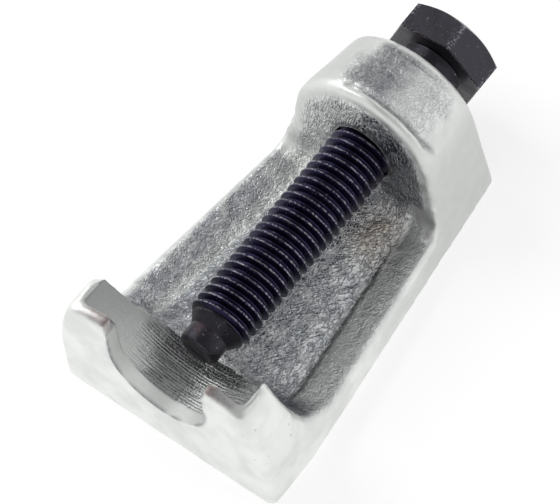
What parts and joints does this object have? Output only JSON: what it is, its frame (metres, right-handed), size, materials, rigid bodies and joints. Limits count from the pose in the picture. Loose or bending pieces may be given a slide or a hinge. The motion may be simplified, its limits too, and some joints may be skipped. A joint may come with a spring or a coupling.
{
  "type": "ball joint separator",
  "caption": "Forged fork on a tapered spine with a round boss at the other end; a hexagon-headed forcing screw in the boss presses a ball joint's pin out of the fork.",
  "frame": {"origin": "centre of the body's flat back", "axes": "+X along the forcing screw from the fork to the hexagon head, +Y across the fork, +Z out of the fork's mouth, away from the flat back"},
  "size_m": [0.0909, 0.049, 0.0344],
  "materials": {
    "satin_forging": "pale satin plated steel forging, machined bright in the fork's seat",
    "black_screw": "black oxide steel, thread crests worn bright"
  },
  "bodies": {
    "body": {"forged_body": "satin_forging"},
    "screw": {"forcing_screw": "black_screw"}
  },
  "joints": [
    {"name": "screw_feed", "type": "slide", "parent": "body", "child": "screw", "axis": [-1, 0, 0], "range_m": [-0.045, 0.005]}
  ]
}
